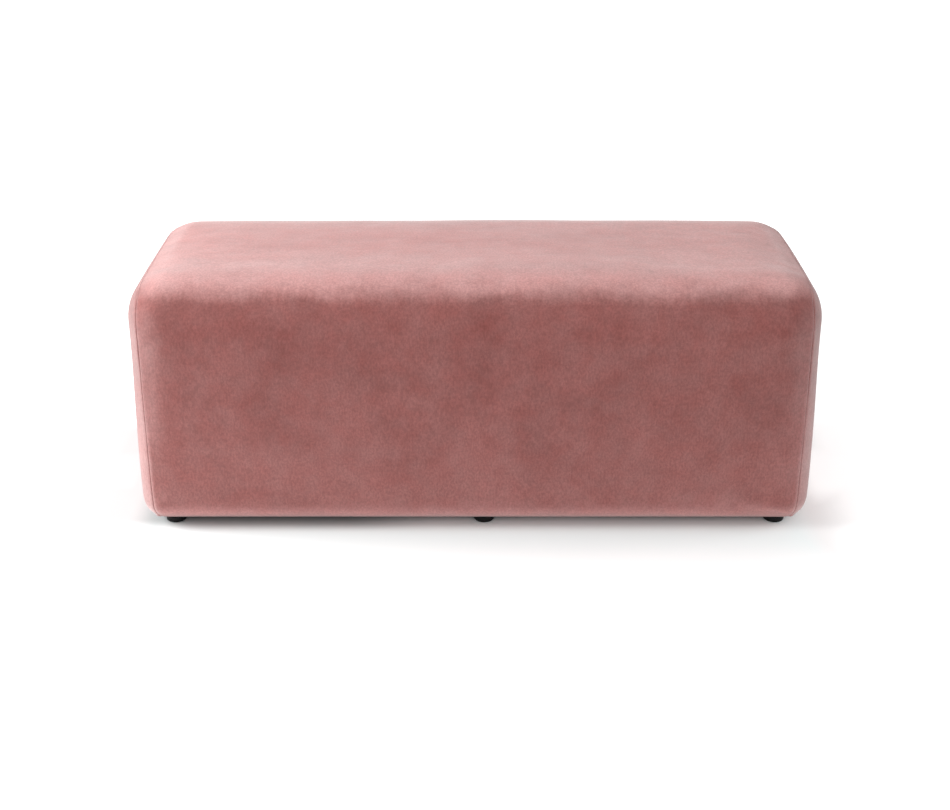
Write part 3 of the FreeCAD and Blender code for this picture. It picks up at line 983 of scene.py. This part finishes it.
def makeFoam(nodeName, pieceName, cover):
    # the foam block, softened, and kept under the wadding
    look = paddingLook
    piece = objectWith(pieceName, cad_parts[nodeName].data.copy())
    weld(piece, samePlace)
    blocks = piece.modifiers.new("blocks", "REMESH")
    blocks.mode = "VOXEL"
    blocks.voxel_size = look["foamVoxel"]
    blocks.use_smooth_shade = True
    bakeDown(piece)
    spots = [(vertex.co.copy(), vertex.normal.copy()) for vertex in piece.data.vertices]
    placed = []
    for spot, normal in spots:
        nearest, out, _, _ = cover.find_nearest(spot)
        deep = (nearest - spot).dot(out)
        inside = spot - out * max(0, look["foamDepth"] - deep)
        placed.append(inside + normal * look["foamCells"] * noise.noise(spot * look["cellScale"]))
    piece.data.vertices.foreach_set("co", np.array(placed).reshape(-1))
    piece.data.update()
    settlePadding(piece, foamStuff, nodeName)


coverShape, waddingShape = shapeCover()
coverTree, seamLines = makeCover(coverShape)
makeWadding(waddingShape)
for side in ("seat", "front", "rear", "left", "right"):
    makeFoam(side + "_foam", side + "Foam", coverTree)
print("the wadding and the foam are made")


# lathe work and wire, as mesh

def latheMesh(name, profile, sides, dent=lambda x, y, z: 0):
    # profile holds (radius, height) from the axis below, round the outside, to the axis above
    points = [(0.0, 0.0, profile[0][1])]
    inner = profile[1:-1]
    for radius, height in inner:
        for side in range(sides):
            turn = tau * side / sides
            x, y = radius * math.cos(turn), radius * math.sin(turn)
            points.append((x, y, height + dent(x, y, height)))
    top = profile[-1][1]
    points.append((0.0, 0.0, top + dent(0, 0, top)))
    last = len(points) - 1
    faces = [(0, 1 + (s + 1) % sides, 1 + s) for s in range(sides)]
    for ring in range(len(inner) - 1):
        a, b = 1 + ring * sides, 1 + (ring + 1) * sides
        faces += [(a + s, a + (s + 1) % sides, b + (s + 1) % sides, b + s) for s in range(sides)]
    a = last - sides
    faces += [(a + s, a + (s + 1) % sides, last) for s in range(sides)]
    thing = objectFrom(name, points, faces)
    outward(thing)
    return thing


def sweepWire(name, path, radius, sides=6, flatten=1.0):
    # a round wire along a flat bend in the XZ plane
    path = np.array(path, float)
    ahead = np.gradient(path, axis=0)
    ahead /= np.linalg.norm(ahead, axis=1, keepdims=True)
    across = np.stack([-ahead[:, 1], ahead[:, 0]], 1)
    points = []
    for spot, side in zip(path, across):
        for step in range(sides):
            turn = tau * step / sides
            out, deep = radius * math.cos(turn), radius * flatten * math.sin(turn)
            points.append((spot[0] + side[0] * out, deep, spot[1] + side[1] * out))
    faces = []
    for ring in range(len(path) - 1):
        a, b = ring * sides, (ring + 1) * sides
        faces += [(a + s, b + s, b + (s + 1) % sides, a + (s + 1) % sides) for s in range(sides)]
    faces += [tuple(range(sides)), tuple(range(len(points) - 1, len(points) - 1 - sides, -1))]
    thing = objectFrom(name, points, faces)
    outward(thing)
    return thing


# geometry nodes that set one small thing out many times

def placingTree(name, followsPath):
    # items stand on the points, or along the path; "facing" on the points says where their top looks
    tree = bpy.data.node_groups.new(name, "GeometryNodeTree")
    for label, kind in (("Places", "Geometry"), ("Item", "Object"), ("Spacing", "Float"), ("Twist", "Float"),
                        ("Seed", "Int"), ("Finish", "Material")):
        tree.interface.new_socket(name=label, in_out="INPUT", socket_type="NodeSocket" + kind)
    tree.interface.new_socket(name="Placed", in_out="OUTPUT", socket_type="NodeSocketGeometry")
    given = tree.nodes.new("NodeGroupInput").outputs
    places = given["Places"]
    if followsPath:
        line = node(tree, "GeometryNodeMeshToCurve", {"Mesh": places}).outputs[0]
        places = node(tree, "GeometryNodeResampleCurve", {"Curve": line, "Length": given["Spacing"]},
                      mode="LENGTH").outputs[0]
    facing = node(tree, "GeometryNodeInputNamedAttribute", {"Name": "facing"},
                  data_type="FLOAT_VECTOR").outputs[0]
    turn = node(tree, "FunctionNodeAlignRotationToVector", {"Vector": facing}, axis="Z").outputs[0]
    if followsPath:
        along = tree.nodes.new("GeometryNodeInputTangent").outputs[0]
        turn = node(tree, "FunctionNodeAlignRotationToVector", {"Rotation": turn, "Vector": along},
                    axis="X", pivot_axis="Z").outputs[0]
    limits = {2: times(tree, given["Twist"], -1.0), 3: given["Twist"], "Seed": given["Seed"]}
    spin = node(tree, "FunctionNodeRandomValue", limits, data_type="FLOAT").outputs[1]
    about = node(tree, "ShaderNodeCombineXYZ", {2: spin}).outputs[0]
    twist = node(tree, "FunctionNodeEulerToRotation", {0: about}).outputs[0]
    turn = node(tree, "FunctionNodeRotateRotation", {"Rotation": turn, "Rotate By": twist},
                rotation_space="LOCAL").outputs[0]
    item = node(tree, "GeometryNodeObjectInfo", {"Object": given["Item"]}).outputs["Geometry"]
    copies = node(tree, "GeometryNodeInstanceOnPoints",
                  {"Points": places, "Instance": item, "Rotation": turn}).outputs[0]
    real = node(tree, "GeometryNodeRealizeInstances", {0: copies}).outputs[0]
    finished = node(tree, "GeometryNodeSetMaterial",
                    {"Geometry": real, "Material": given["Finish"]}).outputs[0]
    wire(tree, tree.nodes.new("NodeGroupOutput").inputs[0], finished)
    return tree


onPoints = placingTree("setOnPoints", False)
alongPath = placingTree("setAlongPath", True)


def setOut(name, item, spots, facings, finish, slotName, tree=onPoints, closed=False, **values):
    # spots and facings become the carrier mesh, and the placed copies become one plain mesh
    mesh = bpy.data.meshes.new(name)
    count = len(spots)
    links = (count if closed else count - 1) if tree is alongPath else 0
    edges = [(k, (k + 1) % count) for k in range(links)]
    mesh.from_pydata([tuple(spot) for spot in spots], edges, [])
    facing = mesh.attributes.new("facing", "FLOAT_VECTOR", "POINT")
    facing.data.foreach_set("vector", np.ravel(facings).astype(float))
    thing = objectWith(name, mesh)
    maker = thing.modifiers.new("placing", "NODES")
    maker.node_group = tree
    values = {"Item": item, "Finish": finish, "Spacing": 0.03, "Twist": 0.0, "Seed": 1, **values}
    for socket in tree.interface.items_tree:
        if socket.in_out == "INPUT" and socket.name in values:
            maker[socket.identifier] = values[socket.name]
    settle(bakeDown(thing))
    bpy.data.objects.remove(item)
    return thing


# glides under the bench

glideLook = {
    "bore": 0.0050, "boreDepth": 0.0035, "boreEdge": 0.0004, "mouthEdge": 0.0007, "flatRing": 0.0035,
    "soleEdge": 0.0029, "soleRise": 0.0026, "soleSteps": 8,
    "groove": 0.0004, "grooveAt": 0.0078, "topEdge": 0.0005, "sides": 64, "smoothBelow": 40}


def glideProfile(radius, top):
    # from the floor of the screw's bore out over the sole, up the wall and in over the top
    look = glideLook
    bore, depth, edge, mouth = look["bore"], look["boreDepth"], look["boreEdge"], look["mouthEdge"]
    groove, at = look["groove"], look["grooveAt"]
    inside = [(0, depth), (bore / 2, depth), (bore - edge, depth), (bore, depth - edge), (bore, mouth)]
    sole = [(bore + mouth, 0.0), (bore + look["flatRing"], 0.0)]
    sole += [(radius - look["soleEdge"] * (1 - math.sin(turn)), look["soleRise"] * (1 - math.cos(turn)))
             for turn in np.linspace(0, math.pi / 2, look["soleSteps"])]
    wall = [(radius, at - 2 * groove), (radius - groove, at - groove), (radius - groove, at),
            (radius, at + groove)]
    above = [(radius, top - look["topEdge"]), (radius - look["topEdge"], top), (radius / 2, top), (0, top)]
    return inside + sole + wall + above


def makeGlides(nodeName, pieceName):
    low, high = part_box(nodeName)
    radius, y, top = (high[1] - low[1]) / 2, (high[1] + low[1]) / 2, high[2]
    points = np.array([vertex.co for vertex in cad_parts[nodeName].data.vertices])
    middle = points[np.abs(points[:, 0]) < high[0] / 2]
    xs = (low[0] + radius, (middle[:, 0].min() + middle[:, 0].max()) / 2, high[0] - radius)
    item = latheMesh("glideItem", glideProfile(radius, top), glideLook["sides"])
    thing = setOut(pieceName, item, [(x, y, 0) for x in xs], [up] * 3, glidePlastic, "glide_plastic")
    smoothByAngle(thing, glideLook["smoothBelow"])
    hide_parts(nodeName)
    return xs, y


# wood screws with a cross recess

screwLook = {
    "headRadius": 0.0040, "headHeight": 0.0026, "coreRadius": 0.00145, "neck": 1.15, "threadRadius": 0.0020,
    "pitch": 0.0018, "turnSteps": 4, "tip": 0.004, "crossReach": 0.0022, "crossHalf": 0.00045,
    "crossDepth": 0.0013, "crossRise": 0.55, "headZone": 0.3, "widest": 0.98,
    "rim": ((-0.0003, -0.0005), (0.0, -0.0003), (-0.0002, 0.0)),       # out from the head's radius, and up
    "faceShares": (0.82, 0.66, 0.545, 0.40, 0.25, 0.12),
    "sides": 32, "smoothBelow": 35, "weldGap": 0.00002, "twist": 0.7}


def screwItem(length):
    # stands head up, with its head's top at zero
    look = screwLook
    head, core, steps = look["headRadius"], look["coreRadius"], look["turnSteps"]

    def crossRecess(x, y, z):
        reach = math.hypot(x, y)
        inCross = min(abs(x), abs(y)) < look["crossHalf"] and reach < look["crossReach"]
        if not inCross or z < -look["headZone"] * look["headHeight"]:
            return 0
        return -look["crossDepth"] * (1 - look["crossRise"] * reach / look["crossReach"])

    start = look["tip"] - length
    rings = [(core * step / steps, look["tip"] * step / steps - length) for step in range(steps)]
    threadSteps = int((length - look["headHeight"] - look["tip"]) / look["pitch"] * steps)
    for step in range(threadSteps):
        radius = look["threadRadius"] if step % steps == 2 else core
        rings.append((radius, start + step * look["pitch"] / steps))
    rings += [(core * look["neck"], -look["headHeight"])] + [(head + out, rise) for out, rise in look["rim"]]
    rings += [(head * share, 0) for share in look["faceShares"]] + [(0, 0)]
    return latheMesh("screwItem", rings, look["sides"], crossRecess)


def separateSolids(nodeName):
    # the points of each solid of a node, found along the edges of its joined mesh
    copy = objectWith("solidsCopy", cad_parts[nodeName].data.copy())
    weld(copy, screwLook["weldGap"])
    points = np.array([vertex.co for vertex in copy.data.vertices])
    solidOf = list(range(len(points)))

    def first(index):
        while solidOf[index] != index:
            solidOf[index] = solidOf[solidOf[index]]
            index = solidOf[index]
        return index

    for edge in copy.data.edges:
        a, b = sorted(first(index) for index in edge.vertices)
        solidOf[b] = a
    bpy.data.objects.remove(copy)
    owners = np.array([first(index) for index in range(len(points))])
    return [points[owners == owner] for owner in np.unique(owners)]


def makeScrews(nodeName, pieceName):
    # one screw for each solid, along its longest way, with its head where it is widest
    spots, facings = [], []
    for points in separateSolids(nodeName):
        low, high = points.min(0), points.max(0)
        axis = int(np.argmax(high - low))
        wide = np.delete(points, axis, 1)
        reach = np.linalg.norm(wide - wide.mean(0), axis=1)
        headAt = points[reach > reach.max() * screwLook["widest"]][:, axis].mean()
        facing, spot = np.zeros(3), (low + high) / 2
        facing[axis] = 1 if headAt > spot[axis] else -1
        spot[axis] = high[axis] if headAt > spot[axis] else low[axis]
        spots.append(spot)
        facings.append(facing)
        length = float(high[axis] - low[axis])
    thing = setOut(pieceName, screwItem(length), spots, facings, steel, "screw_steel",
                   Twist=screwLook["twist"], Seed=4)
    smoothByAngle(thing, screwLook["smoothBelow"])
    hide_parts(nodeName)


for side in ("front", "rear"):
    glideXs, glideY = makeGlides(side + "_glides", side + "Glides")
for kind in ("glide", "deck", "rail"):
    makeScrews(kind + "_screws", kind + "Screws")
print("the glides and screws are set out")


# dust cover: thin black cloth with its edge turned in, stapled round

dustLook = {
    "step": 0.007, "corner": 0.016, "cloth": 0.00034, "turnIn": 0.012, "sag": 0.0019, "sagReach": 0.07,
    "foldOut": 0.0001, "foldIn": 0.0004, "glideHold": 0.045,
    "pucker": 0.00028, "puckerReach": 0.014,
    "crease": 0.00022, "creaseReach": 0.03, "creaseScale": (5, 26, 1),
    "layerShare": 0.62}      # how far each layer's middle lies inside the CAD sheet's faces, in thicknesses
stapleLook = {
    "spacing": 0.031, "crown": 0.0100, "leg": 0.0080, "bend": 0.0006, "wire": 0.00045, "flatten": 1.5,
    "straight": 0.6, "twist": 0.14, "smoothBelow": 50}
stapleRows = (
    {"name": "dustCoverStaples", "inset": 0.0065, "corner": dustLook["corner"], "below": 0.0001, "seed": 3},
    {"name": "hemStaples", "inset": -0.0060, "corner": 0.004, "below": -0.0002, "seed": 9})


def cutCorners(x, y, halfX, halfY, corner):
    # a rectangle's grid drawn in, so that its corners are cut off straight
    a = np.clip((np.abs(x) - halfX + corner) / corner, 0, 1)
    b = np.clip((np.abs(y) - halfY + corner) / corner, 0, 1)
    pull = corner * (1 - 1 / (1 + np.minimum(a, b)))
    return x - np.sign(x) * a * pull, y - np.sign(y) * b * pull


def dustCoverHeight(x, y, edge, alongEdge, low):
    # slack between the glides that hold it up, drawn up at each staple and a little creased
    look = dustLook
    held = np.zeros_like(x)
    for glideX in glideXs:
        for side in (-glideY, glideY):
            held = np.maximum(held, np.exp(-((x - glideX) ** 2 + (y - side) ** 2) / look["glideHold"] ** 2))
    sag = look["sag"] * ease(edge / look["sagReach"]) * (1 - held)
    pucker = np.cos(tau * alongEdge / stapleLook["spacing"]) * np.exp(-edge / look["puckerReach"])
    pucker *= look["pucker"]
    spots = np.stack([x, y, np.ones_like(x)], -1).reshape(-1, 3) * look["creaseScale"]
    folds = noiseOver(spots).reshape(x.shape)
    crease = look["crease"] * folds * ease(edge / look["creaseReach"])
    return low + look["cloth"] * look["layerShare"] - sag + np.minimum(pucker, 0) + crease


def turnedEdge(points, rim, halfX, halfY, top):
    # the edge goes up round the cloth's rim and lies in on top of it
    faces, rings = [], [rim]
    look = dustLook
    turnIn = look["turnIn"]
    for inward, rise in ((-look["foldOut"], 0.5), (look["foldIn"], 1.0), (turnIn / 2, 1.0), (turnIn, 1.0)):
        ring = points[rim] * ((halfX - inward) / halfX, (halfY - inward) / halfY, 1)
        ring[:, 2] = mix(ring[:, 2], top, rise)
        rings.append(list(range(len(points), len(points) + len(rim))))
        points = np.concatenate([points, ring])
    for a, b in zip(rings, rings[1:]):
        for k in range(len(rim)):
            after = (k + 1) % len(rim)
            faces.append((b[k], b[after], a[after], a[k]))
    return points, faces


def makeDustCover():
    look = dustLook
    low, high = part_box("dust_cover")
    halfX, halfY = high[0], high[1]
    across = np.linspace(-halfX, halfX, evenCount(2 * halfX, look["step"]) + 1)
    deep = np.linspace(-halfY, halfY, evenCount(2 * halfY, look["step"]) + 1)
    x, y = np.meshgrid(across, deep)
    edge = np.minimum(halfX - np.abs(x), halfY - np.abs(y))
    x, y = cutCorners(x, y, halfX, halfY, look["corner"])
    alongEdge = np.where(halfX - np.abs(x) < halfY - np.abs(y), y, x)
    z = dustCoverHeight(x, y, edge, alongEdge, low[2])
    places = np.arange(x.size).reshape(x.shape)
    rim = [*places[0], *places[1:, -1], *places[-1, -2::-1], *places[-2:0:-1, 0]]
    flatFaces = gridFaces(0, *x.shape, True)
    points, turned = turnedEdge(np.stack([x, y, z], -1).reshape(-1, 3), rim, halfX, halfY,
                                high[2] - look["cloth"] * look["layerShare"])
    piece = thicken(objectFrom("dustCover", points, flatFaces + turned), look["cloth"], 0)
    settle(piece, dustCloth)
    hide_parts("dust_cover")
    return halfX, halfY, low[2]


def stapleItem():
    # the crown bends into two legs, drawn from the middle out and mirrored
    look = stapleLook
    half, leg, bend = look["crown"] / 2, look["leg"], look["bend"]
    right = [(half - bend + bend * math.cos(turn), bend * math.sin(turn) - bend)
             for turn in np.radians(np.linspace(90, 0, 4))]
    right += [(half, -leg * look["straight"]), (half, -leg)]
    path = [(-x, z) for x, z in right[::-1]] + right
    return sweepWire("stapleItem", path, look["wire"] / 2, 6, look["flatten"])


def stapleRound(row, halfX, halfY, height):
    # one row of staples round a rectangle with cut corners
    look = stapleLook
    halfX, halfY, height = halfX - row["inset"], halfY - row["inset"], height - row["below"]
    spots = [(halfX, halfY - row["corner"], height), (halfX - row["corner"], halfY, height)]
    spots += [(-x, y, height) for x, y, _ in spots[::-1]]
    spots += [(-x, -y, height) for x, y, _ in spots]
    piece = setOut(row["name"], stapleItem(), spots, [down] * len(spots), steel, "screw_steel", alongPath,
                   closed=True, Spacing=look["spacing"], Twist=look["twist"], Seed=row["seed"])
    smoothByAngle(piece, look["smoothBelow"])


stapleRound(stapleRows[0], *makeDustCover())
stapleRound(stapleRows[1], hemX, hemY, floorLine)
print("the dust cover is stapled on")


# sewing thread at the bottom of each seam

threadLook = {
    "stitch": 0.0034, "drawn": 0.0026, "thick": 0.00026, "rise": 0.9, "drop": 1.5, "sunk": 0.0001,
    "twist": 0.05}


def stitchItem():
    # a short arc whose ends go down into the seam
    look = threadLook
    half, thick = look["drawn"] / 2, look["thick"]
    path = [(half * share, thick * (look["rise"] - look["drop"] * share * share) - look["sunk"])
            for share in np.linspace(-1, 1, 7)]
    return sweepWire("stitchItem", path, thick)


def sewSeams(points, facings):
    for column, side in enumerate(("left", "right")):
        setOut(side + "SeamStitches", stitchItem(), points[:, column], facings[:, column], thread, "velvet",
               alongPath, Spacing=threadLook["stitch"], Twist=threadLook["twist"], Seed=2)


sewSeams(*seamLines)
print("the seams are sewn")


# wood and ply inside

# the grain of a rail follows its length
woodFor = {"rail": pineAcross, "post": pineUpright, "panel": plywood, "rib": plywood, "deck": plywood}
for nodeName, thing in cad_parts.items():
    words = nodeName.split("_")
    isLong = words[-1] == "rail" and words[0] in ("front", "rear")
    finish = pineLong if isLong else woodFor.get(words[-1])
    if finish:
        for socket in thing.material_slots:
            socket.material = finish


# camera, floor and light

cameraPlace = {"back": 2.39959, "height": 1.27758, "pitch": 25.317, "sensor": 36.0,
               "focusPixels": 1412.78, "centreX": 475.11}
photoWidth = 950


def makeCamera():
    place = cameraPlace
    data = bpy.data.cameras.new("studioCamera")
    data.sensor_fit = "HORIZONTAL"
    data.sensor_width = place["sensor"]
    data.lens = place["focusPixels"] * place["sensor"] / photoWidth
    data.shift_x = (photoWidth / 2 - place["centreX"]) / photoWidth
    camera = objectWith("studioCamera", data)
    camera.location = (0, -place["back"], place["height"])
    camera.rotation_euler = (math.radians(90 - place["pitch"]), 0, 0)
    scene.camera = camera


# glows and shadows are (start, full) in metres from the bench's sides, and an amount
floorLook = {
    "reach": 9, "colour": 0.80, "seenColour": 0.84,
    # painted out bounce light: the camera sees the floor tinted slightly cyan near the bench, against the pink
    # light the bench throws on it
    "seenTint": (0.93, 1.0, 1.0, 1), "tintBeside": (-0.03, 0.02), "tintBefore": (0.0, 0.12),
    "sideGlow": 0.29, "sideFrom": (0.0, 0.11), "leftGlow": 0.27, "leftFrom": (-0.03, 0.03),
    "frontGlow": 0.10, "frontFrom": (0.0, 0.16), "farGlow": 1.0, "farFrom": (1.0, 2.4),
    "backGlow": 0.30, "backFrom": (-0.17, -0.05), "backUntil": 0.05, "backBeside": (-0.01, 0.05),
    "nearDarker": 0.34, "nearFrom": (-0.02, 0.002), "nearLeft": (-0.02, 0.12),
    "underDarker": 0.5, "underFrom": (-0.05, 0.0), "underUntil": (-0.25, -0.05)}


def floorShade(tree, x, beside, before):
    # the contact shadow is deeper at the left end and under the left half
    look = floorLook
    leftEnd = spread(tree, x, *(reach - halfLength for reach in look["nearLeft"]), 1.0, 0.0)
    near = spread(tree, larger(tree, beside, before), *look["nearFrom"], look["nearDarker"], 0.0)
    under = spread(tree, before, *look["underFrom"], look["underDarker"], 0.0)
    under = times(tree, under, spread(tree, x, *look["underUntil"], 1.0, 0.0))
    return larger(tree, times(tree, near, leftEnd), under)


def floorGlow(tree, place, x, y, beside, before):
    # light added for the camera alone, so that the floor turns white away from the bench
    look = floorLook
    side = spread(tree, beside, *look["sideFrom"], 0.0, look["sideGlow"])
    left = minus(tree, times(tree, x, -1.0), halfLength)
    left = spread(tree, left, *look["leftFrom"], 0.0, look["leftGlow"])
    front = spread(tree, before, *look["frontFrom"], 0.0, look["frontGlow"])
    behind = times(tree, spread(tree, y, *look["backFrom"], 0.0, look["backGlow"]),
                   spread(tree, beside, *look["backBeside"]),
                   spread(tree, y, look["backUntil"], halfDepth, 1.0, 0.0))
    away = node(tree, "ShaderNodeVectorMath", {0: place}, operation="LENGTH").outputs["Value"]
    far = spread(tree, away, *look["farFrom"], 0.0, look["farGlow"])
    return plus(tree, larger(tree, side, left, behind, front), far)


def makeFloor():
    # plain and pale; the camera sees it lifted to white away from the object, with the shadow kept
    look, reach = floorLook, floorLook["reach"]
    corners = [(-reach, -reach, 0), (reach, -reach, 0), (reach, reach, 0), (-reach, reach, 0)]
    floor = objectFrom("studioFloor", corners, [(0, 1, 2, 3)], False)
    material = bpy.data.materials.new("paleFloor")
    material.use_nodes = True
    tree = material.node_tree
    tree.nodes.clear()
    seen = seenDirectly(tree)
    place = tree.nodes.new("ShaderNodeTexCoord").outputs["Object"]
    x, y, _ = split(tree, place)
    beside = minus(tree, absolute(tree, x), halfLength)
    before = minus(tree, absolute(tree, y), halfDepth)
    # painted out bounce light: a slight cyan tint near the bench, for the camera alone, cancels the bench's
    # pink light on the floor
    clear = spread(tree, beside, *look["tintBeside"])
    clear = larger(tree, clear, spread(tree, before, *look["tintBefore"]))
    tint = blendColour(tree, seen, white, blendColour(tree, clear, look["seenTint"], white))
    grey = blendValue(tree, seen, look["colour"], look["seenColour"])
    grey = times(tree, grey, minus(tree, 1.0, floorShade(tree, x, beside, before)))
    glow = times(tree, seen, floorGlow(tree, place, x, y, beside, before))
    matte = node(tree, "ShaderNodeBsdfDiffuse", {"Color": scaleColour(tree, tint, grey)})
    lifted = node(tree, "ShaderNodeEmission", {"Color": white, "Strength": glow})
    both = node(tree, "ShaderNodeAddShader", {0: matte.outputs[0], 1: lifted.outputs[0]})
    wire(tree, tree.nodes.new("ShaderNodeOutputMaterial").inputs[0], both.outputs[0])
    floor.data.materials.append(material)


lamps = (
    {"name": "leftSoftbox", "at": (-2.6, -0.3, 1.3), "size": (1.6, 1.6), "power": 132},
    {"name": "rightSoftbox", "at": (2.6, -0.3, 1.3), "size": (1.6, 1.6), "power": 33},
    {"name": "frontFill", "at": (0.3, -3.2, 2.0), "size": (2.6, 1.6), "power": 28})
lampAim = (0, 0, 0.3)
domeStrength = 0.55


def makeLamps():
    for lamp in lamps:
        data = bpy.data.lights.new(lamp["name"], "AREA")
        data.shape = "RECTANGLE"
        data.size, data.size_y = lamp["size"]
        data.energy = lamp["power"]
        thing = objectWith(lamp["name"], data)
        thing.location = lamp["at"]
        toward = Vector(lampAim) - Vector(lamp["at"])
        thing.rotation_euler = toward.to_track_quat("-Z", "Y").to_euler()


def makeWorld():
    world = bpy.data.worlds.new("whiteStudio")
    world.use_nodes = True
    scene.world = world
    tree = world.node_tree
    tree.nodes.clear()
    strength = blendValue(tree, seenDirectly(tree), domeStrength, 1.0)
    sky = node(tree, "ShaderNodeBackground", {"Color": white, "Strength": strength})
    wire(tree, tree.nodes.new("ShaderNodeOutputWorld").inputs[0], sky.outputs[0])


makeCamera()
makeFloor()
makeLamps()
makeWorld()
scene.view_settings.view_transform = "Standard"
print("camera, floor and light are set")
